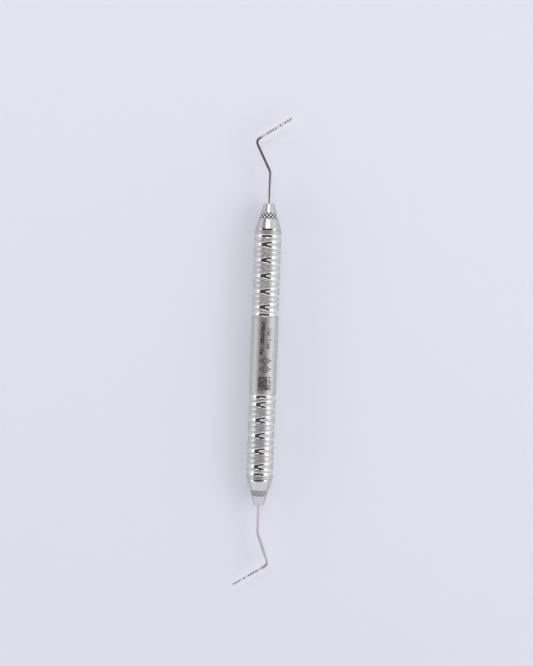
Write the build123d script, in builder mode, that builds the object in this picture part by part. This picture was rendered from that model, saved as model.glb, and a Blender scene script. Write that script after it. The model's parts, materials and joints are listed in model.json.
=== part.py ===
from build123d import *
from math import atan2, cos, degrees, hypot, radians, sin
import os

# Double-ended periodontal probe, lying on its side.
# Frame: +X along the handle towards the flat tip, +Z up, both tips bent in the XY plane.
# Origin: on the handle's axis, half way along the handle. Millimetres.

# ---- handle tube ----
handle_diameter = 9.5          # 3/8 inch hollow handle
handle_length = 88.0
handle_bore_diameter = 8.0
tube_end_chamfer = 0.25
bar_groove_outer = 42.0        # ring groove at the outer end of each grip zone
bar_groove_inner = 14.5        # ring groove at the inner end of each grip zone
grip_pitch = 5.5               # one turn of the grip pattern
grip_groove_width = 1.0
grip_groove_depth = 0.32
bar_groove_width = 0.7
bar_groove_depth = 0.26

# ---- nose cones ----
cone_length = 9.55
cone_base_diameter = 9.0
cone_land_length = 0.6         # short cylinder at the base, before the taper
cone_end_diameter = 3.76
cone_base_chamfer = 0.2
cone_edge_break = 0.12         # at the small end
spigot_length = 6.0
spigot_lead = 0.3
knurl_start = 4.0              # knurled band, measured from the cone's base
knurl_end = 6.3
knurl_edge_depth = 0.08
tang_length = 13.0             # how far each working end reaches into its cone

# ---- working ends ----
flat_shank_diameter = 1.0
round_shank_diameter = 1.25
shank_bend_radius = 3.5
elbow_bend_radius = 1.5

# flat end: corners of its centreline
flat_bend = (64.6, 0.0)
flat_elbow_a = (74.3, 4.86)
flat_elbow_b = (75.8, 4.9)
flat_end = (83.72, -7.2)
flat_width = 1.0
flat_thickness = 0.5
flat_length = 11.2             # the flat's constant section, from its end

# round end: corners of its centreline
round_bend = (-63.8, 0.0)
round_elbow = (-74.9, -4.04)
round_end = (-82.78, 8.54)
round_elbow_radius = 1.8
round_neck_diameter = 0.95     # at the elbow
round_end_diameter = 0.6

# graduation grooves, distances from each tip's end
marks = (1.0, 2.0, 3.0, 5.0, 7.0, 8.0, 9.0, 10.0)
flat_mark_width = 0.32
round_mark_width = 0.42
mark_depth = 0.035

half = handle_length / 2
cone_tip_x = half + cone_length


def unit(a, b):
    # direction from point a to point b
    d = hypot(b[0] - a[0], b[1] - a[1])
    return ((b[0] - a[0]) / d, (b[1] - a[1]) / d)


def along(a, direction, distance):
    return (a[0] + direction[0] * distance, a[1] + direction[1] * distance)


def across(point, direction):
    # plane square to the centreline at a point: its x runs along +Z
    return Plane(
        origin=(point[0], point[1], 0),
        x_dir=(0, 0, 1),
        z_dir=(direction[0], direction[1], 0),
    )


os.makedirs("parts", exist_ok=True)

# ------------------------------------------------------------------ handle tube
with BuildPart() as handle_tube:
    with BuildSketch(Plane.YZ.offset(-half)):
        Circle(handle_diameter / 2)
        Circle(handle_bore_diameter / 2, mode=Mode.SUBTRACT)
    extrude(amount=handle_length)
    outer_edges = (
        handle_tube.edges()
        .filter_by(GeomType.CIRCLE)
        .filter_by(lambda e: abs(e.radius - handle_diameter / 2) < 1e-6)
    )
    chamfer(outer_edges, length=tube_end_chamfer)
    # grip grooves: a rounded channel round the tube every half pitch,
    # and a narrower bar groove at each end of each zone
    steps = round((bar_groove_outer - bar_groove_inner) / (grip_pitch / 2))
    with BuildSketch(Plane.XZ) as grooves:
        for side in (-1, 1):
            for i in range(steps + 1):
                x = side * (bar_groove_inner + i * grip_pitch / 2)
                at_bar = i in (0, steps)
                w = bar_groove_width if at_bar else grip_groove_width
                d = bar_groove_depth if at_bar else grip_groove_depth
                r = handle_diameter / 2
                with BuildLine():
                    ThreePointArc((x - w / 2, r), (x, r - d), (x + w / 2, r))
                    Polyline(
                        (x + w / 2, r), (x + w / 2, r + 0.4), (x - w / 2, r + 0.4), (x - w / 2, r)
                    )
                make_face()
    revolve(axis=Axis.X, mode=Mode.SUBTRACT)
handle_tube.part.label = "handle_tube"
export_step(handle_tube.part, "parts/handle_tube.step")


# ------------------------------------------------------------------ nose cones
def cone_profile(side):
    # half section of one cone with its spigot and tang bore, side is +1 or -1
    base_r = cone_base_diameter / 2
    end_r = cone_end_diameter / 2
    bore_r = (flat_shank_diameter if side > 0 else round_shank_diameter) / 2
    spigot_r = handle_bore_diameter / 2

    def wall(s):
        taper = max(s - cone_land_length, 0.0) / (cone_length - cone_land_length)
        return base_r + (end_r - base_r) * taper

    e = knurl_edge_depth
    w = 0.16
    points = [
        (half - spigot_length, 0.0),
        (half - spigot_length, spigot_r - spigot_lead),
        (half - spigot_length + spigot_lead, spigot_r),
        (half, spigot_r),
        (half, base_r - cone_base_chamfer),
        (half + cone_base_chamfer, base_r),
        (half + cone_land_length, base_r),
    ]
    for s in (knurl_start, knurl_end):
        points += [
            (half + s - w, wall(s - w)),
            (half + s, wall(s) - e),
            (half + s + w, wall(s + w)),
        ]
    points += [
        (cone_tip_x - cone_edge_break, wall(cone_length - cone_edge_break)),
        (cone_tip_x, end_r - cone_edge_break),
        (cone_tip_x, bore_r),
        (cone_tip_x - tang_length, bore_r),
        (cone_tip_x - tang_length, 0.0),
    ]
    return [(side * x, z) for x, z in points]


with BuildPart() as flat_tip_nose_cone:
    with BuildSketch(Plane.XZ):
        with BuildLine():
            Polyline(*cone_profile(1), close=True)
        make_face()
    revolve(axis=Axis.X)
flat_tip_nose_cone.part.label = "flat_tip_nose_cone"
export_step(flat_tip_nose_cone.part, "parts/flat_tip_nose_cone.step")

with BuildPart() as round_tip_nose_cone:
    with BuildSketch(Plane.XZ):
        with BuildLine():
            Polyline(*cone_profile(-1), close=True)
        make_face()
    revolve(axis=Axis.X)
round_tip_nose_cone.part.label = "round_tip_nose_cone"
export_step(round_tip_nose_cone.part, "parts/round_tip_nose_cone.step")

# ------------------------------------------------------------------ flat working end
tang_x = cone_tip_x - tang_length
blade_dir = unit(flat_elbow_b, flat_end)
blade_back = (-blade_dir[0], -blade_dir[1])
# the elbow's last bend ends this far along the straight blade
turn_b = radians(
    degrees(atan2(flat_elbow_b[1] - flat_elbow_a[1], flat_elbow_b[0] - flat_elbow_a[0]))
    - degrees(atan2(blade_dir[1], blade_dir[0]))
)
elbow_b_tangent = elbow_bend_radius * sin(turn_b / 2) / cos(turn_b / 2)
blade_start = along(flat_elbow_b, blade_dir, elbow_b_tangent + 0.1)
flat_tip_centre = along(flat_end, blade_back, flat_width / 2)
flat_section_start = along(flat_end, blade_back, flat_length)
blade_neck = hypot(
    flat_section_start[0] - blade_start[0], flat_section_start[1] - blade_start[1]
)

with BuildPart() as flat_probe_tip:
    # tang, shank and elbow: one round wire along straight runs and tangent arcs
    with BuildLine(Plane.XY) as flat_route:
        FilletPolyline(
            (tang_x, 0.0),
            flat_bend,
            flat_elbow_a,
            flat_elbow_b,
            blade_start,
            radius=(shank_bend_radius, elbow_bend_radius, elbow_bend_radius),
        )
    with BuildSketch(across((tang_x, 0.0), (1.0, 0.0))):
        Circle(flat_shank_diameter / 2)
    sweep(path=flat_route.line)
    # the wire is forged flat: round at the elbow, flat from there to the end
    with BuildSketch(across(blade_start, blade_dir)):
        Circle(flat_shank_diameter / 2)
    with BuildSketch(across(flat_section_start, blade_dir)):
        RectangleRounded(flat_thickness, flat_width, 0.12)
    loft()
    with BuildSketch(across(flat_section_start, blade_dir)) as flat_section:
        RectangleRounded(flat_thickness, flat_width, 0.12)
    extrude(flat_section.sketch, amount=flat_length - flat_width / 2)
    # rounded end, seen from above as a half circle
    with BuildSketch(Plane.XY.offset(-flat_thickness / 2)) as flat_nose:
        with Locations(flat_tip_centre):
            Circle(flat_width / 2)
    extrude(flat_nose.sketch, amount=flat_thickness)
    # graduation grooves round the flat
    for mark in marks:
        with BuildSketch(across(along(flat_end, blade_back, mark + flat_mark_width / 2), blade_dir)) as ring:
            Rectangle(flat_thickness + 1.0, flat_width + 1.0)
            RectangleRounded(
                flat_thickness - 2 * mark_depth,
                flat_width - 2 * mark_depth,
                0.1,
                mode=Mode.SUBTRACT,
            )
        extrude(ring.sketch, amount=flat_mark_width, mode=Mode.SUBTRACT)
flat_probe_tip.part.label = "flat_probe_tip"
export_step(flat_probe_tip.part, "parts/flat_probe_tip.step")

# ------------------------------------------------------------------ round working end
shank_dir = unit(round_bend, round_elbow)
rod_dir = unit(round_elbow, round_end)
rod_back = (-rod_dir[0], -rod_dir[1])
turn = radians(180.0) - abs(
    atan2(
        shank_dir[0] * rod_dir[1] - shank_dir[1] * rod_dir[0],
        -(shank_dir[0] * rod_dir[0] + shank_dir[1] * rod_dir[1]),
    )
)
elbow_tangent = round_elbow_radius * sin(turn / 2) / cos(turn / 2)
elbow_in = along(round_elbow, (-shank_dir[0], -shank_dir[1]), elbow_tangent)
elbow_out = along(round_elbow, rod_dir, elbow_tangent)
neck_length = 4.0
neck_start = along(elbow_in, (-shank_dir[0], -shank_dir[1]), neck_length)
rod_length = hypot(round_end[0] - elbow_out[0], round_end[1] - elbow_out[1])
rod_straight = rod_length - round_end_diameter / 2
neck_taper = degrees(atan2((round_shank_diameter - round_neck_diameter) / 2, neck_length))
rod_taper = degrees(atan2((round_neck_diameter - round_end_diameter) / 2, rod_straight))

with BuildPart() as round_probe_tip:
    # tang and shank
    with BuildLine(Plane.XY) as round_route:
        FilletPolyline((-tang_x, 0.0), round_bend, neck_start, radius=shank_bend_radius)
    with BuildSketch(across((-tang_x, 0.0), (-1.0, 0.0))) as tang_section:
        Circle(round_shank_diameter / 2)
    sweep(tang_section.sketch, path=round_route.line)
    # lower shank, narrowing to the elbow
    with BuildSketch(across(neck_start, shank_dir)) as neck_section:
        Circle(round_shank_diameter / 2)
    extrude(neck_section.sketch, amount=neck_length, taper=neck_taper)
    # elbow
    with BuildLine(Plane.XY) as elbow_route:
        TangentArc(elbow_in, elbow_out, tangent=shank_dir)
    with BuildSketch(across(elbow_in, shank_dir)) as elbow_section:
        Circle(round_neck_diameter / 2)
    sweep(elbow_section.sketch, path=elbow_route.line)
    # tapered rod with a ball end
    with BuildSketch(across(elbow_out, rod_dir)) as rod_section:
        Circle(round_neck_diameter / 2)
    extrude(rod_section.sketch, amount=rod_straight, taper=rod_taper)
    with Locations(along(round_end, rod_back, round_end_diameter / 2)):
        Sphere(round_end_diameter / 2)
    # graduation grooves round the rod
    for mark in marks:
        r = (
            round_end_diameter / 2
            + (round_neck_diameter - round_end_diameter) / 2 * (mark - round_end_diameter / 2) / rod_straight
        )
        with BuildSketch(across(along(round_end, rod_back, mark + round_mark_width / 2), rod_dir)) as ring:
            Circle(r + 0.5)
            Circle(r - mark_depth, mode=Mode.SUBTRACT)
        extrude(ring.sketch, amount=round_mark_width, mode=Mode.SUBTRACT)
round_probe_tip.part.label = "round_probe_tip"
export_step(round_probe_tip.part, "parts/round_probe_tip.step")

print("handle volume", handle_tube.part.volume)
print("flat tip: neck", blade_neck, "volume", flat_probe_tip.part.volume, len(flat_probe_tip.part.solids()))
print("round tip: rod", rod_length, "volume", round_probe_tip.part.volume, len(round_probe_tip.part.solids()))
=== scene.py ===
import json
import math

import bpy
import numpy as np
from mathutils import Matrix, Vector

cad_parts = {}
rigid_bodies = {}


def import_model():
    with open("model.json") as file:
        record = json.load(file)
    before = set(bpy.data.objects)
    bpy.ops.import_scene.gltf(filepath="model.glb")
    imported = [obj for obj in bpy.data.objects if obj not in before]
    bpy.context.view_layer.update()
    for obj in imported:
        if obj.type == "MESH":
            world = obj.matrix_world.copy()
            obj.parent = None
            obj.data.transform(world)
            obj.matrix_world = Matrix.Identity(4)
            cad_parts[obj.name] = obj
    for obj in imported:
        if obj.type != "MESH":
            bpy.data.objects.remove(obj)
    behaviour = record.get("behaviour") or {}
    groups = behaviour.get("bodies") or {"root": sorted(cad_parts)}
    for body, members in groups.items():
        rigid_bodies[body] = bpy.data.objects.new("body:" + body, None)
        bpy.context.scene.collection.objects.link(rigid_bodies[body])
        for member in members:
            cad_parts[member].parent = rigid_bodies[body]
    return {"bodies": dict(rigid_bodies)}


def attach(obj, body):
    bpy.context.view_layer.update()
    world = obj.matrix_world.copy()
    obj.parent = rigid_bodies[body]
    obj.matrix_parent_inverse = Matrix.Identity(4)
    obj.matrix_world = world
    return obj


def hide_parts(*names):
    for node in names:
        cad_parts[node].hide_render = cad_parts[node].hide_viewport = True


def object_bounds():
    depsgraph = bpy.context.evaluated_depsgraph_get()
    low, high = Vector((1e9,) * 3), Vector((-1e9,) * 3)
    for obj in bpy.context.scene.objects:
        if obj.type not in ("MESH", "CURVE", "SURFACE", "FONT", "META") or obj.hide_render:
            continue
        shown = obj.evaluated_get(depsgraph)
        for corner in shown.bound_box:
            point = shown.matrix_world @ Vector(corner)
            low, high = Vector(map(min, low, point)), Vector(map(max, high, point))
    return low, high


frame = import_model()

CAD_LOW, CAD_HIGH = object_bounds()
BODY = list(frame["bodies"])[0]
MM = 0.001

# The probe lies along X, flat tip at +X, with both tips bent in the XY plane.
# Lengths below are in millimetres and are turned into metres when a mesh is made.


# ------------------------------------------------------------------ mesh helpers
def make_object(name, verts_mm, faces, smooth=True, sharp_deg=None):
    mesh = bpy.data.meshes.new(name)
    mesh.from_pydata((np.asarray(verts_mm, float) * MM).tolist(), [], faces)
    mesh.update()
    if smooth:
        mesh.polygons.foreach_set("use_smooth", [True] * len(mesh.polygons))
    obj = bpy.data.objects.new(name, mesh)
    bpy.context.scene.collection.objects.link(obj)
    if sharp_deg:
        edge_split_by_angle(mesh, math.radians(sharp_deg))
    return obj


def edge_split_by_angle(mesh, angle):
    """Marks sharp edges, so that shading breaks there while the mesh stays closed."""
    import bmesh

    bm = bmesh.new()
    bm.from_mesh(mesh)
    for e in bm.edges:
        if len(e.link_faces) == 2 and e.calc_face_angle(0.0) > angle:
            e.smooth = False
    bm.to_mesh(mesh)
    bm.free()


def grid_faces(rows, cols, first=0, close_rows=False):
    """Quads of a grid of rows x cols points, closed round the columns."""
    faces = []
    n = rows if close_rows else rows - 1
    for i in range(n):
        a = first + i * cols
        b = first + ((i + 1) % rows) * cols
        for j in range(cols):
            k = (j + 1) % cols
            faces.append((a + j, a + k, b + k, b + j))
    return faces


def ring_points(x, radii, theta):
    """Points round the X axis. theta is from +Z towards -Y."""
    return np.stack(
        [np.full(len(theta), x), -radii * np.sin(theta), radii * np.cos(theta)], axis=1
    )


def smoothstep(a, b, x):
    t = np.clip((x - a) / (b - a), 0.0, 1.0)
    return t * t * (3 - 2 * t)


# ------------------------------------------------------------------ handle tube
R = 4.75
HALF = 44.0
BORE = 4.0
PITCH = 5.5
COLS = 150
theta = np.linspace(0, 2 * math.pi, COLS, endpoint=False)
ZONES = (
    # low end, high end, x of one crossing of the two deep grooves, its angle, and their width
    (14.5, 42.0, 28.1, math.radians(-36.0), 1.14),
    (-42.0, -14.5, -28.3, math.radians(-42.0), 1.1),
)
DEEP_D = 0.17  # polished, with a nearly flat floor
FINE_W, FINE_D = 0.66, 0.095  # satin
BAR_W, BAR_D = 1.2, 0.17


def groove(distance, width, depth, power=2):
    """Depth of a channel at a distance from its middle. Power 2 is a round floor, more is flatter."""
    t = np.clip(1 - (2 * distance / width) ** power, 0, None)
    return depth * t


def grip_depth(x, th):
    """How far the grip is cut below the handle's radius, over a grid of x and theta."""
    depth = np.zeros(np.broadcast(x, th).shape)
    for low, high, cross, cross_angle, deep_w in ZONES:
        inside = smoothstep(low - 0.05, low + 0.35, x) * (1 - smoothstep(high - 0.35, high + 0.05, x))
        turn = np.mod(th - cross_angle + math.pi, 2 * math.pi) - math.pi
        zone = np.zeros_like(depth)
        for hand in (-1, 1):
            for start in range(3):
                w, d, power = (deep_w, DEEP_D, 6) if start == 0 else (FINE_W, FINE_D, 2)
                centre = cross + hand * PITCH * turn / (2 * math.pi) + start * PITCH / 3
                gap = np.mod(x - centre + PITCH / 2, PITCH) - PITCH / 2
                zone = np.maximum(zone, groove(np.abs(gap), w, d, power))
        depth = np.maximum(depth, zone * inside)
        for bar in (low, high):
            depth = np.maximum(depth, groove(np.abs(x - bar) + 0 * th, BAR_W, BAR_D, 6))
    return depth


def handle_rows():
    """x of each outer ring, finer over the grips."""
    xs = []
    fillet = 0.28
    for a in np.linspace(0, math.pi / 2, 6):
        xs.append(-HALF + fillet * (1 - math.sin(math.pi / 2 - a)))
    xs += list(np.linspace(-HALF + fillet, -42.62, 9)[1:])
    xs += list(np.arange(-42.55, -14.0, 0.1))
    xs += list(np.linspace(-13.95, 13.95, 48))
    xs += list(np.arange(14.05, 42.62, 0.1))
    xs += list(np.linspace(42.66, HALF - fillet, 9))
    for a in np.linspace(0, math.pi / 2, 6)[1:]:
        xs.append(HALF - fillet + fillet * math.sin(a))
    return np.array(xs), fillet


def build_handle():
    xs, fillet = handle_rows()
    base = np.full(len(xs), R)
    for i, x in enumerate(xs):
        edge = HALF - abs(x)
        if edge < fillet:
            base[i] = R - fillet + math.sqrt(max(fillet**2 - (fillet - edge) ** 2, 0.0))
        elif abs(x) > 42.5:
            # the end band is turned very slightly crowned
            base[i] = R - 0.035 * ((abs(x) - 43.1) / 0.62) ** 2
    grid = base[:, None] - grip_depth(xs[:, None], theta[None, :])
    verts = [ring_points(x, grid[i], theta) for i, x in enumerate(xs)]
    bore = np.full(COLS, BORE)
    verts.append(ring_points(HALF, bore, theta))
    verts.append(ring_points(-HALF, bore, theta))
    rows = len(verts)
    faces = grid_faces(rows, COLS, close_rows=True)
    obj = make_object("probe_handle", np.concatenate(verts), faces, sharp_deg=50)
    return obj


# ------------------------------------------------------------------ nose cones
CONE_BASE, CONE_END, CONE_LEN, CONE_LAND = 4.5, 1.88, 9.55, 0.6
FLAT_SHANK, ROUND_SHANK = 0.5, 0.625  # radii
TANG = 13.0
KNURL = (4.0, 6.3)
TEETH = 14
KNURL_D = 0.2
CCOLS = TEETH * 12
ctheta = np.linspace(0, 2 * math.pi, CCOLS, endpoint=False)


def cone_wall(s):
    return CONE_BASE + (CONE_END - CONE_BASE) * max(s - CONE_LAND, 0.0) / (CONE_LEN - CONE_LAND)


def knurl_depth(s, th):
    r = cone_wall((KNURL[0] + KNURL[1]) / 2)
    pitch = 2 * math.pi * r / TEETH * 1.0
    a = th * TEETH / (2 * math.pi) + (s - KNURL[0]) / pitch
    b = th * TEETH / (2 * math.pi) - (s - KNURL[0]) / pitch
    cut = np.zeros(np.broadcast(s, th).shape)
    for p in (a, b):
        d = np.abs(np.mod(p, 1.0) - 0.5) * 2  # 1 in the middle of a cut, 0 on a crest
        cut = np.maximum(cut, np.clip((d - 0.4) / 0.5, 0.0, 1.0))
    band = smoothstep(KNURL[0] - 0.06, KNURL[0] + 0.06, s) * (
        1 - smoothstep(KNURL[1] - 0.06, KNURL[1] + 0.06, s)
    )
    return KNURL_D * cut * band


def build_cone(side, name):
    """side +1 or -1 along X. A closed profile turned about the axis, knurled in its band."""
    fillet = 0.12
    shank = FLAT_SHANK if side > 0 else ROUND_SHANK
    prof = [(-6.0, 0.0), (-6.0, 3.70), (-5.7, 4.0), (0.0, 4.0), (0.0, CONE_BASE - fillet)]
    for a in np.linspace(0, math.pi / 2, 6)[1:]:
        prof.append(
            (fillet * (1 - math.cos(a)), CONE_BASE - fillet + fillet * math.sin(a))
        )
    for s in (0.25, 0.4, 0.52, 0.58, 0.64, 0.72):
        prof.append((s, cone_wall(s) - 0.012 * max(0.0, 1 - abs(s - 0.6) / 0.12)))
    for s in np.linspace(0.9, KNURL[0] - 0.12, 13):
        prof.append((s, cone_wall(s)))
    for s in np.arange(KNURL[0] - 0.1, KNURL[1] + 0.11, 0.075):
        prof.append((s, cone_wall(s)))
    nose = 0.42
    for s in np.linspace(KNURL[1] + 0.16, CONE_LEN - nose, 14):
        prof.append((s, cone_wall(s)))
    slope = math.atan((CONE_BASE - CONE_END) / (CONE_LEN - CONE_LAND))
    edge = cone_wall(CONE_LEN - nose)
    for a in np.linspace(slope, math.pi / 2, 9)[1:]:
        prof.append(
            (
                CONE_LEN - nose + nose * (math.sin(a) - math.sin(slope)) / (1 - math.sin(slope)),
                edge - nose * (math.cos(slope) - math.cos(a)),
            )
        )
    prof += [(CONE_LEN, 1.2), (CONE_LEN - 0.03, shank + 0.16), (CONE_LEN - 0.16, shank + 0.004)]
    prof += [(CONE_LEN - TANG, shank + 0.004)]
    verts = [np.array([[side * (HALF - 6.0), 0.0, 0.0]])]
    rings = 0
    for s, r in prof[1:]:
        radii = np.full(CCOLS, r)
        if KNURL[0] - 0.2 < s < KNURL[1] + 0.2:
            radii = r - knurl_depth(np.full(CCOLS, s), ctheta)
        verts.append(ring_points(side * (HALF + s), radii, ctheta))
        rings += 1
    verts.append(np.array([[side * (HALF + CONE_LEN - TANG), 0.0, 0.0]]))
    verts = np.concatenate(verts)
    last = len(verts) - 1
    faces = grid_faces(rings, CCOLS, first=1)
    faces = [tuple(reversed(f)) if side < 0 else f for f in faces]
    for j in range(CCOLS):
        k = (j + 1) % CCOLS
        a = (0, 1 + k, 1 + j)
        e = 1 + (rings - 1) * CCOLS
        b = (last, e + j, e + k)
        if side < 0:
            a, b = tuple(reversed(a)), tuple(reversed(b))
        faces += [a, b]
    return make_object(name, verts, faces, sharp_deg=38)


# ------------------------------------------------------------------ working ends
def unit(a, b):
    d = math.hypot(b[0] - a[0], b[1] - a[1])
    return ((b[0] - a[0]) / d, (b[1] - a[1]) / d)


def route(corners, radii, step=0.12, arc_step=0.08):
    """Points and directions along straight runs joined by tangent arcs."""
    pts, dirs = [], []

    def straight(a, b):
        length = math.hypot(b[0] - a[0], b[1] - a[1])
        n = max(2, int(length / step) + 1)
        d = unit(a, b)
        for t in np.linspace(0, 1, n):
            if pts and math.hypot(a[0] + (b[0] - a[0]) * t - pts[-1][0], a[1] + (b[1] - a[1]) * t - pts[-1][1]) < 1e-6:
                continue
            pts.append((a[0] + (b[0] - a[0]) * t, a[1] + (b[1] - a[1]) * t))
            dirs.append(d)

    start = corners[0]
    for i in range(1, len(corners) - 1):
        p, r = corners[i], radii[i - 1]
        d0, d1 = unit(corners[i - 1], p), unit(p, corners[i + 1])
        cross = d0[0] * d1[1] - d0[1] * d1[0]
        turn = math.atan2(cross, d0[0] * d1[0] + d0[1] * d1[1])
        tangent = r * math.tan(abs(turn) / 2)
        a = (p[0] - d0[0] * tangent, p[1] - d0[1] * tangent)
        straight(start, a)
        sign = 1 if turn > 0 else -1
        centre = (a[0] - d0[1] * r * sign, a[1] + d0[0] * r * sign)
        n = max(5, int(abs(turn) * r / arc_step) + 1)
        for t in np.linspace(0, turn, n)[1:]:
            c, s = math.cos(t), math.sin(t)
            d = (d0[0] * c - d0[1] * s, d0[0] * s + d0[1] * c)
            pts.append((centre[0] + d[1] * r * sign, centre[1] - d[0] * r * sign))
            dirs.append(d)
        start = pts[-1]
    straight(start, corners[-1])
    pts, dirs = np.array(pts), np.array(dirs)
    s = np.concatenate([[0], np.cumsum(np.hypot(*(np.diff(pts, axis=0).T)))])
    return pts, dirs, s


ROUND_ROUTE = ((-63.8, 0.0), (-74.9, -4.04), (-82.78, 8.54))
FLAT_ROUTE = ((64.6, 0.0), (74.3, 4.86), (75.8, 4.9), (83.72, -7.2))
MARKS = (1.0, 2.0, 3.0, 5.0, 7.0, 8.0, 9.0, 10.0)
FLAT_MARK, ROUND_MARK, MARK_D = 0.32, 0.42, 0.04


def resample(pts, dirs, s, wanted):
    x = np.interp(wanted, s, pts[:, 0])
    y = np.interp(wanted, s, pts[:, 1])
    dx = np.interp(wanted, s, dirs[:, 0])
    dy = np.interp(wanted, s, dirs[:, 1])
    n = np.hypot(dx, dy)
    return np.stack([x, y], 1), np.stack([dx / n, dy / n], 1)


def mark_cut(t, width, ends=0.05):
    """How deep the graduation grooves are at a distance t from the tip's end."""
    cut = np.zeros_like(t)
    for m in MARKS:
        d = np.abs(t - m)
        cut = np.maximum(cut, 1 - smoothstep(width / 2 - ends, width / 2, d))
    return cut * MARK_D


def stations(total, special, width):
    """Distances along a tip: fine near its end and at each mark, coarser elsewhere."""
    w = list(np.arange(0, total, 0.16))
    for m in MARKS:
        for d in (0.01, -0.005, -0.03, -0.05):
            w += [total - m - width / 2 - d, total - m + width / 2 + d]
        w.append(total - m)
    w += special
    w = np.unique(np.round(np.array([v for v in w if 0 <= v <= total]), 4))
    keep = [w[0]]
    for v in w[1:]:
        if v - keep[-1] > 0.008:
            keep.append(v)
    return np.array(keep)


def tube_object(name, points, dirs, half_wide, half_thick, power, segments=32):
    """A closed bar along points in the XY plane. Each section is a superellipse: power 2 is an ellipse, more is squarer."""
    phi = np.linspace(0, 2 * math.pi, segments, endpoint=False)
    verts = []
    for (x, y), (dx, dy), w, h, p in zip(points, dirs, half_wide, half_thick, power):
        c, s = np.cos(phi), np.sin(phi)
        k = (np.abs(c) ** p + np.abs(s) ** p) ** (-1.0 / p)
        across, up = w * c * k, h * s * k
        verts.append(np.stack([x - dy * across, y + dx * across, up], 1))
    n = len(verts)
    verts = np.concatenate(verts)
    first = len(verts)
    ends = np.array([[points[0][0], points[0][1], 0.0], [points[-1][0], points[-1][1], 0.0]])
    verts = np.concatenate([verts, ends])
    faces = grid_faces(n, segments)
    for j in range(segments):
        k = (j + 1) % segments
        faces.append((first, k, j))
        e = (n - 1) * segments
        faces.append((first + 1, e + j, e + k))
    return make_object(name, verts, faces, sharp_deg=48)


def build_round_tip():
    bend, elbow, end = ROUND_ROUTE
    start = (-(HALF + CONE_LEN - TANG), 0.0)
    pts, dirs, s = route([start, bend, elbow, end], (3.5, 1.8))
    total = s[-1]
    neck, elbow_r, end_r = ROUND_SHANK, 0.475, 0.3
    out_at = total - math.hypot(end[0] - elbow[0], end[1] - elbow[1])  # near the elbow
    balls = [total - end_r * (1 - math.sin(a)) for a in np.linspace(0.05, math.pi / 2, 9)]
    want = stations(total, balls, ROUND_MARK)
    p, d = resample(pts, dirs, s, want)
    t = total - want
    # the shank narrows over its last 4 mm before the elbow, then the rod tapers to its end
    before = out_at - 1.4
    r = np.interp(want, [0, before - 4.0, before, out_at + 1.4, total - end_r, total], [neck, neck, elbow_r, elbow_r, end_r, end_r])
    r = r - mark_cut(t, ROUND_MARK)
    inside = t < end_r
    r[inside] = np.sqrt(np.maximum(end_r**2 - (end_r - t[inside]) ** 2, 1e-6))
    return tube_object("probe_tip_round", p, d, r, r, np.full(len(want), 2.0))


def build_flat_tip():
    bend, ea, eb, end = FLAT_ROUTE
    start = (HALF + CONE_LEN - TANG, 0.0)
    pts, dirs, s = route([start, bend, ea, eb, end], (3.5, 1.5, 1.5))
    total = s[-1]
    w_r, h_r = 0.5, 0.25
    balls = [total - w_r * (1 - math.sin(a)) for a in np.linspace(0.05, math.pi / 2, 10)]
    want = stations(total, balls, FLAT_MARK)
    p, d = resample(pts, dirs, s, want)
    t = total - want
    cut = mark_cut(t, FLAT_MARK)
    flat = smoothstep(13.5, 11.2, t)
    wide = FLAT_SHANK + (w_r - FLAT_SHANK) * flat - cut
    thick = FLAT_SHANK + (h_r - FLAT_SHANK) * flat - cut
    power = 2.0 + 3.0 * flat
    inside = t < w_r
    wide[inside] = np.sqrt(np.maximum(w_r**2 - (w_r - t[inside]) ** 2, 1e-5))
    thick[t < 0.08] -= 0.05
    return tube_object("probe_tip_flat", p, d, wide, thick, power)


# ------------------------------------------------------------------ materials
def new_material(name):
    m = bpy.data.materials.new(name)
    m.use_nodes = True
    nt = m.node_tree
    for n in list(nt.nodes):
        nt.nodes.remove(n)
    out = nt.nodes.new("ShaderNodeOutputMaterial")
    b = nt.nodes.new("ShaderNodeBsdfPrincipled")
    nt.links.new(b.outputs["BSDF"], out.inputs["Surface"])
    return m, nt, b


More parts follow.
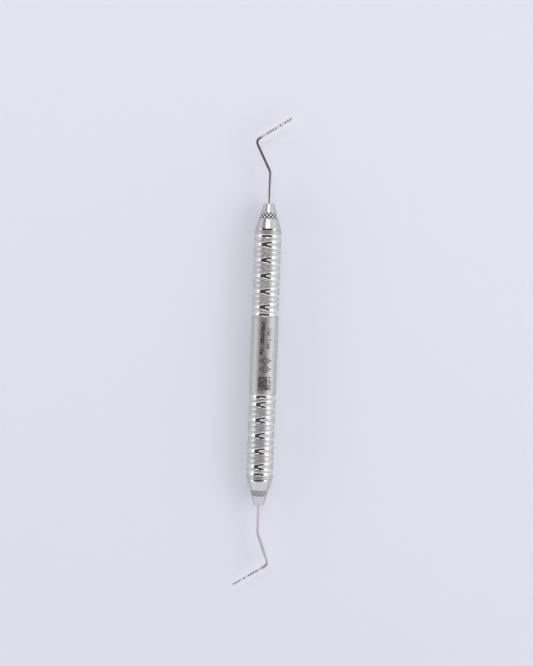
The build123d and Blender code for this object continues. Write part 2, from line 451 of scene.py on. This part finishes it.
class Nodes:
    """Short hand for building a node tree."""

    def __init__(self, nt):
        self.nt = nt

    def put(self, socket, value):
        if isinstance(value, bpy.types.NodeSocket):
            self.nt.links.new(value, socket)
        else:
            socket.default_value = value

    def math(self, op, a, b=None, c=None, clamp=False):
        n = self.nt.nodes.new("ShaderNodeMath")
        n.operation = op
        n.use_clamp = clamp
        self.put(n.inputs[0], a)
        if b is not None:
            self.put(n.inputs[1], b)
        if c is not None:
            self.put(n.inputs[2], c)
        return n.outputs[0]

    def position(self):
        n = self.nt.nodes.new("ShaderNodeTexCoord")
        return n.outputs["Object"]

    def split(self, v):
        n = self.nt.nodes.new("ShaderNodeSeparateXYZ")
        self.put(n.inputs[0], v)
        return n.outputs

    def combine(self, x, y, z):
        n = self.nt.nodes.new("ShaderNodeCombineXYZ")
        for i, v in enumerate((x, y, z)):
            self.put(n.inputs[i], v)
        return n.outputs[0]

    def scale(self, v, by):
        n = self.nt.nodes.new("ShaderNodeVectorMath")
        n.operation = "MULTIPLY"
        self.put(n.inputs[0], v)
        n.inputs[1].default_value = by
        return n.outputs[0]

    def noise(self, v, scale, detail=2.0, rough=0.5, distortion=0.0):
        n = self.nt.nodes.new("ShaderNodeTexNoise")
        self.put(n.inputs["Vector"], v)
        n.inputs["Scale"].default_value = scale
        n.inputs["Detail"].default_value = detail
        n.inputs["Roughness"].default_value = rough
        n.inputs["Distortion"].default_value = distortion
        return n.outputs["Fac"]

    def white(self, v):
        n = self.nt.nodes.new("ShaderNodeTexWhiteNoise")
        n.noise_dimensions = "3D"
        self.put(n.inputs["Vector"], v)
        return n.outputs["Value"]

    def remap(self, v, a, b, c, d, smooth=False):
        n = self.nt.nodes.new("ShaderNodeMapRange")
        n.interpolation_type = "SMOOTHSTEP" if smooth else "LINEAR"
        self.put(n.inputs["Value"], v)
        n.inputs["From Min"].default_value = a
        n.inputs["From Max"].default_value = b
        n.inputs["To Min"].default_value = c
        n.inputs["To Max"].default_value = d
        return n.outputs["Result"]

    def mix(self, fac, a, b):
        n = self.nt.nodes.new("ShaderNodeMix")
        n.data_type = "RGBA"
        self.put(n.inputs[0], fac)
        self.put(n.inputs[6], a)
        self.put(n.inputs[7], b)
        return n.outputs[2]

    def mixf(self, fac, a, b):
        n = self.nt.nodes.new("ShaderNodeMix")
        n.data_type = "FLOAT"
        self.put(n.inputs[0], fac)
        self.put(n.inputs[2], a)
        self.put(n.inputs[3], b)
        return n.outputs[0]

    def bump(self, height, strength, distance):
        n = self.nt.nodes.new("ShaderNodeBump")
        n.inputs["Strength"].default_value = strength
        n.inputs["Distance"].default_value = distance
        self.put(n.inputs["Height"], height)
        return n.outputs["Normal"]

    def band(self, v, low, high, soft):
        """1 where v is between low and high."""
        up = self.remap(v, low - soft, low + soft, 0.0, 1.0)
        down = self.remap(v, high - soft, high + soft, 1.0, 0.0)
        return self.math("MULTIPLY", up, down)


def steel_handle():
    m, nt, b = new_material("handle_satin_steel")
    k = Nodes(nt)
    pos = k.position()
    mm = k.scale(pos, (1000.0, 1000.0, 1000.0))
    x, y, z = k.split(mm)
    r = k.math("SQRT", k.math("ADD", k.math("MULTIPLY", y, y), k.math("MULTIPLY", z, z)))
    angle = k.math("ARCTAN2", k.math("MULTIPLY", y, -1.0), z)  # from +Z towards -Y
    arc = k.math("MULTIPLY", angle, R)  # millimetres round the handle
    cut = k.remap(r, R - 0.06, R - 0.12, 0.0, 1.0, smooth=True)  # 1 in the polished grooves
    absx = k.math("ABSOLUTE", x)
    in_grip = k.band(absx, 14.1, 42.6, 0.05)
    cut = k.math("MULTIPLY", cut, in_grip)
    # lathe lines run round the handle: noise that changes fast along X and slowly round it
    lathe = k.combine(k.math("MULTIPLY", x, 9.0), k.math("MULTIPLY", arc, 0.25), k.math("MULTIPLY", r, 0.2))
    fine = k.noise(lathe, 2.4, 3.0, 0.65)
    broad = k.noise(k.combine(k.math("MULTIPLY", x, 0.55), k.math("MULTIPLY", arc, 0.12), 0.0), 1.0, 2.0, 0.6)
    mottle = k.noise(mm, 0.5, 4.0, 0.6)
    tint = k.mix(broad, (0.56, 0.555, 0.53, 1), (0.66, 0.655, 0.635, 1))
    tint = k.mix(k.remap(mottle, 0.35, 0.7, 0.0, 0.35), tint, (0.44, 0.435, 0.40, 1))
    polished = (0.80, 0.795, 0.78, 1)
    # painted highlight: the edges of the ridges are painted brighter
    ridge_highlight = k.band(r, R - 0.045, R - 0.008, 0.006)
    ridge_highlight = k.math("MULTIPLY", ridge_highlight, in_grip)
    colour = k.mix(k.math("MULTIPLY", ridge_highlight, 0.55), tint, (0.78, 0.77, 0.75, 1))
    colour = k.mix(cut, colour, polished)
    # ---- laser marks on the smooth centre: a ticked line, a plain outline and a square of random cells
    soft = 0.015
    # ticked line one
    row1 = k.band(k.math("ADD", arc, k.math("MULTIPLY", x, -0.035)), -1.6, -0.3, soft)
    cell1 = k.math("FLOOR", k.math("DIVIDE", x, 0.26))
    sub1 = k.math("FLOOR", k.math("DIVIDE", arc, 0.27))
    on1 = k.math("GREATER_THAN", k.white(k.combine(cell1, sub1, 1.0)), 0.26)
    gap1 = k.math("GREATER_THAN", k.white(k.combine(k.math("FLOOR", k.math("DIVIDE", x, 0.78)), 3.0, 1.0)), 0.06)
    on1 = k.math("MULTIPLY", on1, gap1)
    m1 = k.math("MULTIPLY", k.math("MULTIPLY", row1, k.band(x, 0.2, 12.1, soft)), on1)
    # ticked line two, shorter and lighter
    row2 = k.band(k.math("ADD", arc, k.math("MULTIPLY", x, -0.035)), 0.75, 2.2, soft)
    cell2 = k.math("FLOOR", k.math("DIVIDE", x, 0.33))
    sub2 = k.math("FLOOR", k.math("DIVIDE", arc, 0.3))
    on2 = k.math("GREATER_THAN", k.white(k.combine(cell2, sub2, 2.0)), 0.40)
    gap2 = k.math("GREATER_THAN", k.white(k.combine(k.math("FLOOR", k.math("DIVIDE", x, 0.99)), 7.0, 2.0)), 0.05)
    on2 = k.math("MULTIPLY", on2, gap2)
    m2 = k.math("MULTIPLY", k.math("MULTIPLY", row2, k.band(x, 2.4, 10.0, soft)), on2)
    # two plain double lozenges
    dv = k.math("ABSOLUTE", k.math("SUBTRACT", arc, 0.55))
    m3 = None
    for centre in (-1.75, -4.75):
        du = k.math("ABSOLUTE", k.math("SUBTRACT", x, centre))
        lozenge = k.math("ADD", k.math("DIVIDE", du, 1.45), k.math("DIVIDE", dv, 2.3))
        for lo, hi in ((0.77, 1.0), (0.30, 0.52)):
            line = k.band(lozenge, lo, hi, 0.01)
            m3 = line if m3 is None else k.math("MAXIMUM", m3, line)
    # the square of cells
    in_sq = k.math("MULTIPLY", k.band(x, -12.2, -7.4, soft), k.band(arc, -1.8, 2.85, soft))
    cx = k.math("FLOOR", k.math("DIVIDE", x, 0.3))
    cy = k.math("FLOOR", k.math("DIVIDE", arc, 0.3))
    cells = k.white(k.combine(cx, cy, 5.0))
    dense = k.remap(arc, 1.3, 1.5, 0.12, 0.55)
    on4 = k.math("GREATER_THAN", cells, dense)
    m4 = k.math("MULTIPLY", in_sq, on4)
    marks = k.math("MAXIMUM", k.math("MAXIMUM", m1, k.math("MULTIPLY", m2, 0.75)), k.math("MAXIMUM", m3, k.math("MULTIPLY", m4, 0.9)))
    speckle = k.remap(k.noise(mm, 9.0, 2.0, 0.7), 0.3, 0.6, 0.75, 1.0)
    marks = k.math("MULTIPLY", marks, speckle)
    colour = k.mix(marks, colour, (0.028, 0.018, 0.016, 1))
    b.inputs["Specular IOR Level"].default_value = 0.1
    k.put(b.inputs["Base Color"], colour)
    k.put(b.inputs["Metallic"], k.remap(marks, 0.0, 1.0, 1.0, 0.1))
    rough = k.remap(fine, 0.3, 0.7, 0.42, 0.50)
    rough = k.math("ADD", rough, k.remap(broad, 0.3, 0.7, -0.02, 0.03))
    rough = k.mixf(cut, rough, k.remap(fine, 0.3, 0.7, 0.10, 0.17))
    rough = k.mixf(marks, rough, 0.6)
    k.put(b.inputs["Roughness"], rough)
    height = k.math("ADD", fine, k.math("MULTIPLY", marks, -0.8))
    height = k.math("MULTIPLY", height, k.mixf(cut, 1.0, 0.25))
    k.put(b.inputs["Normal"], k.bump(height, 0.12, 0.00002))
    b.inputs["Anisotropic"].default_value = 0.4
    t = nt.nodes.new("ShaderNodeTangent")
    t.direction_type = "RADIAL"
    t.axis = "X"
    nt.links.new(t.outputs[0], b.inputs["Tangent"])
    return m


def steel_cone():
    m, nt, b = new_material("cone_steel")
    k = Nodes(nt)
    mm = k.scale(k.position(), (1000.0, 1000.0, 1000.0))
    x, y, z = k.split(mm)
    r = k.math("SQRT", k.math("ADD", k.math("MULTIPLY", y, y), k.math("MULTIPLY", z, z)))
    angle = k.math("ARCTAN2", k.math("MULTIPLY", y, -1.0), z)
    s = k.math("SUBTRACT", k.math("ABSOLUTE", x), HALF)
    past = k.math("MAXIMUM", k.math("SUBTRACT", s, CONE_LAND), 0.0)
    wall = k.math("ADD", CONE_BASE, k.math("MULTIPLY", past, (CONE_END - CONE_BASE) / (CONE_LEN - CONE_LAND)))
    land = k.band(s, -0.2, CONE_LAND + 0.02, 0.03)
    cut = k.remap(k.math("SUBTRACT", wall, r), 0.09, 0.13, 0.0, 1.0)
    band = k.band(s, KNURL[0], KNURL[1], 0.05)
    cut = k.math("MULTIPLY", cut, band)
    lathe = k.combine(k.math("MULTIPLY", x, 10.0), k.math("MULTIPLY", angle, 0.9), 0.0)
    fine = k.noise(lathe, 2.2, 3.0, 0.65)
    mottle = k.noise(mm, 0.7, 3.0, 0.6)
    colour = k.mix(mottle, (0.575, 0.565, 0.585, 1), (0.665, 0.655, 0.67, 1))
    # painted highlight: the knurl crests are painted paler and less metallic, so they read white
    top = k.math("MULTIPLY", band, k.math("SUBTRACT", 1.0, cut))
    colour = k.mix(k.math("MULTIPLY", top, 0.95), colour, (0.95, 0.94, 0.93, 1))
    # painted shade: the knurl cuts are painted nearly black
    colour = k.mix(cut, colour, (0.085, 0.075, 0.08, 1))
    k.put(b.inputs["Base Color"], colour)
    k.put(b.inputs["Metallic"], k.mixf(top, 1.0, 0.45))
    rough = k.mixf(band, k.remap(fine, 0.3, 0.7, 0.20, 0.30), 0.5)
    # the small end is rounded and polished
    rough = k.mixf(k.band(s, CONE_LEN - 0.5, CONE_LEN + 0.1, 0.03), rough, 0.08)
    rough = k.mixf(land, rough, 0.1)
    k.put(b.inputs["Roughness"], rough)
    k.put(b.inputs["Normal"], k.bump(fine, 0.3, 0.00003))
    b.inputs["Anisotropic"].default_value = 0.5
    t = nt.nodes.new("ShaderNodeTangent")
    t.direction_type = "RADIAL"
    t.axis = "X"
    nt.links.new(t.outputs[0], b.inputs["Tangent"])
    return m


def steel_tip(name, end, back, mark_w, mark_colour, near_cone, shank_colour, shank_rough, shank_metal, tip_colour, tip_metal, elbow_shade):
    """A shank in one finish, and a paler matt tip with dark graduation grooves at set distances from its end."""
    m, nt, b = new_material(name)
    k = Nodes(nt)
    mm = k.scale(k.position(), (1000.0, 1000.0, 1000.0))
    x, y, z = k.split(mm)
    along = k.math(
        "ADD",
        k.math("MULTIPLY", k.math("SUBTRACT", x, end[0]), back[0]),
        k.math("MULTIPLY", k.math("SUBTRACT", y, end[1]), back[1]),
    )
    outer = k.math("GREATER_THAN", k.math("ABSOLUTE", x), 73.0)
    marks = None
    for d in MARKS:
        one = k.band(along, d - mark_w / 2 + 0.01, d + mark_w / 2 - 0.01, 0.03)
        marks = one if marks is None else k.math("MAXIMUM", marks, one)
    marks = k.math("MULTIPLY", marks, outer)
    fine = k.noise(k.scale(mm, (3.0, 3.0, 6.0)), 3.0, 3.0, 0.6)
    mottle = k.noise(mm, 0.8, 3.0, 0.6)
    near = k.math("MULTIPLY", k.remap(along, 13.6, 11.6, 0.0, 1.0, smooth=True), outer)
    dark = tuple(c * 0.8 for c in shank_colour)
    shank = k.mix(mottle, (*dark, 1), (*shank_colour, 1))
    shank = k.mix(k.remap(k.math("ABSOLUTE", x), 55.0, 67.0, 1.0, 0.0), shank, (*near_cone, 1))
    pale = tuple(c * 0.88 for c in tip_colour)
    tip = k.mix(mottle, (*pale, 1), (*tip_colour, 1))
    colour = k.mix(near, shank, tip)
    # painted shade: a dark band on the rod next to the elbow, its strength set by elbow_shade
    elbow_shade_band = k.math("MULTIPLY", k.band(along, 12.2, 14.5, 0.5), outer)
    colour = k.mix(k.math("MULTIPLY", elbow_shade_band, elbow_shade), colour, (0.24, 0.18, 0.20, 1))
    stain = k.math("MULTIPLY", marks, k.remap(fine, 0.3, 0.7, 0.86, 1.0))
    colour = k.mix(stain, colour, (*mark_colour, 1))
    k.put(b.inputs["Base Color"], colour)
    metal = k.mixf(near, shank_metal, tip_metal)
    k.put(b.inputs["Metallic"], k.mixf(marks, metal, 0.1))
    rough = k.mixf(near, k.remap(fine, 0.3, 0.7, shank_rough - 0.04, shank_rough + 0.06), 0.55)
    k.put(b.inputs["Roughness"], k.mixf(marks, rough, 0.7))
    k.put(b.inputs["Normal"], k.bump(fine, 0.25, 0.00002))
    b.inputs["Specular IOR Level"].default_value = 0.3
    return m


def floor_material():
    m, nt, b = new_material("pale_floor")
    k = Nodes(nt)
    mm = k.position()
    n = k.noise(mm, 6.0, 3.0, 0.5)
    k.put(b.inputs["Base Color"], k.mix(n, (0.85, 0.857, 0.935, 1), (0.87, 0.877, 0.955, 1)))
    b.inputs["Roughness"].default_value = 0.7
    b.inputs["Specular IOR Level"].default_value = 0.2
    b.inputs["Emission Color"].default_value = (0.86, 0.87, 0.95, 1)
    b.inputs["Emission Strength"].default_value = 0.14
    return m


# ------------------------------------------------------------------ build the pieces
handle = build_handle()
handle.data.materials.append(steel_handle())
cone_flat = build_cone(1, "probe_nose_cone_flat_end")
cone_round = build_cone(-1, "probe_nose_cone_round_end")
cone_mat = steel_cone()
for c in (cone_flat, cone_round):
    c.data.materials.append(cone_mat)
tip_round = build_round_tip()
tip_flat = build_flat_tip()
round_back = unit(ROUND_ROUTE[2], ROUND_ROUTE[1])
flat_back = unit(FLAT_ROUTE[3], FLAT_ROUTE[2])
tip_round.data.materials.append(steel_tip("tip_steel_round", ROUND_ROUTE[2], round_back, ROUND_MARK, (0.045, 0.027, 0.03), (0.80, 0.77, 0.78), (0.74, 0.70, 0.72), 0.45, 0.5, (0.84, 0.80, 0.81), 0.3, 0.5))
# painted reflection: the flat tip's shank is painted a dark purplish brown, lightening towards the cone
tip_flat.data.materials.append(steel_tip("tip_steel_flat", FLAT_ROUTE[3], flat_back, FLAT_MARK, (0.15, 0.105, 0.09), (0.64, 0.56, 0.57), (0.38, 0.31, 0.33), 0.16, 1.0, (0.90, 0.87, 0.82), 0.3, 0.0))

for piece, node, slot in (
    (handle, "handle_tube", "handle_satin_steel"),
    (cone_flat, "flat_tip_nose_cone", "cone_steel"),
    (cone_round, "round_tip_nose_cone", "cone_steel"),
    (tip_flat, "flat_probe_tip", "tip_steel"),
    (tip_round, "round_probe_tip", "tip_steel"),
):
    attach(piece, BODY)
    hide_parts(node)

# ------------------------------------------------------------------ floor
floor_z = CAD_LOW.z
mesh = bpy.data.meshes.new("floor")
s = 1.6
mesh.from_pydata([(-s, -s, floor_z), (s, -s, floor_z), (s, s, floor_z), (-s, s, floor_z)], [], [(0, 1, 2, 3)])
floor = bpy.data.objects.new("floor", mesh)
bpy.context.scene.collection.objects.link(floor)
floor.data.materials.append(floor_material())

# ------------------------------------------------------------------ camera
u_dir = Vector((0.034844, -0.999393, 0.0))
v_dir = Vector((0.999393, 0.034844, 0.0))
tilt = math.radians(3.2)
back = (Vector((0, 0, 1)) * math.cos(tilt) + v_dir * math.sin(tilt)).normalized()
up = (v_dir * math.cos(tilt) - Vector((0, 0, 1)) * math.sin(tilt)).normalized()
right = up.cross(back).normalized()
target = (u_dir * 0.914 + v_dir * 7.777) * MM
cam_data = bpy.data.cameras.new("camera")
cam = bpy.data.objects.new("camera", cam_data)
bpy.context.scene.collection.objects.link(cam)
cam_data.sensor_fit = "AUTO"
cam_data.sensor_width = 36.0
cam_data.lens = 36.0 * 1552.8 / 666.0
cam_data.clip_start, cam_data.clip_end = 0.01, 20.0
rot = Matrix((right, up, back)).transposed()
cam.matrix_world = Matrix.Translation(target + back * 0.550) @ rot.to_4x4()
bpy.context.scene.camera = cam

# ------------------------------------------------------------------ light
scene = bpy.context.scene
scene.view_settings.view_transform = "Standard"
scene.view_settings.look = "None"
world = bpy.data.worlds.new("studio")
scene.world = world
world.use_nodes = True
wt = world.node_tree
for n in list(wt.nodes):
    wt.nodes.remove(n)
w = Nodes(wt)
wo = wt.nodes.new("ShaderNodeOutputWorld")
bg = wt.nodes.new("ShaderNodeBackground")
wt.links.new(bg.outputs[0], wo.inputs[0])
tc = wt.nodes.new("ShaderNodeTexCoord")
direction = tc.outputs["Generated"]


def dot(v, by):
    n = wt.nodes.new("ShaderNodeVectorMath")
    n.operation = "DOT_PRODUCT"
    w.put(n.inputs[0], v)
    n.inputs[1].default_value = by
    return n.outputs["Value"]


# The room is bright all round, and darker straight above, where the person looking down would be.
side = dot(direction, tuple(u_dir))
lengthwise = dot(direction, tuple(v_dir))
toward = dot(direction, (0.0, 0.0, 1.0))
su = w.math("DIVIDE", w.math("ADD", side, 0.155), 0.83)
sv = w.math("DIVIDE", w.math("ADD", lengthwise, -0.11), 0.66)
dist = w.math("SQRT", w.math("ADD", w.math("MULTIPLY", su, su), w.math("MULTIPLY", sv, sv)))
shade = w.remap(dist, 0.80, 1.05, 1.0, 0.0, smooth=True)
above = w.math("GREATER_THAN", toward, 0.0)
shade = w.math("MULTIPLY", shade, above)
room = w.mix(shade, (1.0, 1.0, 1.05, 1), (0.072, 0.06, 0.07, 1))
wt.links.new(room, bg.inputs["Color"])
bg.inputs["Strength"].default_value = 0.95


def softbox(name, place, aim, size, power, colour=(1, 1, 1)):
    light = bpy.data.lights.new(name, "AREA")
    light.shape = "RECTANGLE"
    light.size, light.size_y = size
    light.energy = power
    light.color = colour
    o = bpy.data.objects.new(name, light)
    scene.collection.objects.link(o)
    o.location = place
    d = Vector(aim) - Vector(place)
    o.rotation_mode = "QUATERNION"
    o.rotation_quaternion = d.to_track_quat("-Z", "Y")
    return o


def place_on_dome(lateral_deg, length_deg, distance):
    a, e = math.radians(lateral_deg), math.radians(length_deg)
    v = u_dir * math.sin(a) * math.cos(e) + Vector((0, 0, 1)) * math.cos(a) * math.cos(e) + v_dir * math.sin(e)
    return tuple(v * distance)


softbox("softbox_right", place_on_dome(57, -6, 0.7), (0, 0, 0), (0.62, 0.22), 0.62)
softbox("softbox_left", place_on_dome(-70, -6, 0.7), (0, 0, 0), (0.62, 0.2), 0.5)
softbox("softbox_top", place_on_dome(-4, 36, 0.7), (0, 0, 0), (0.52, 0.2), 0.7)
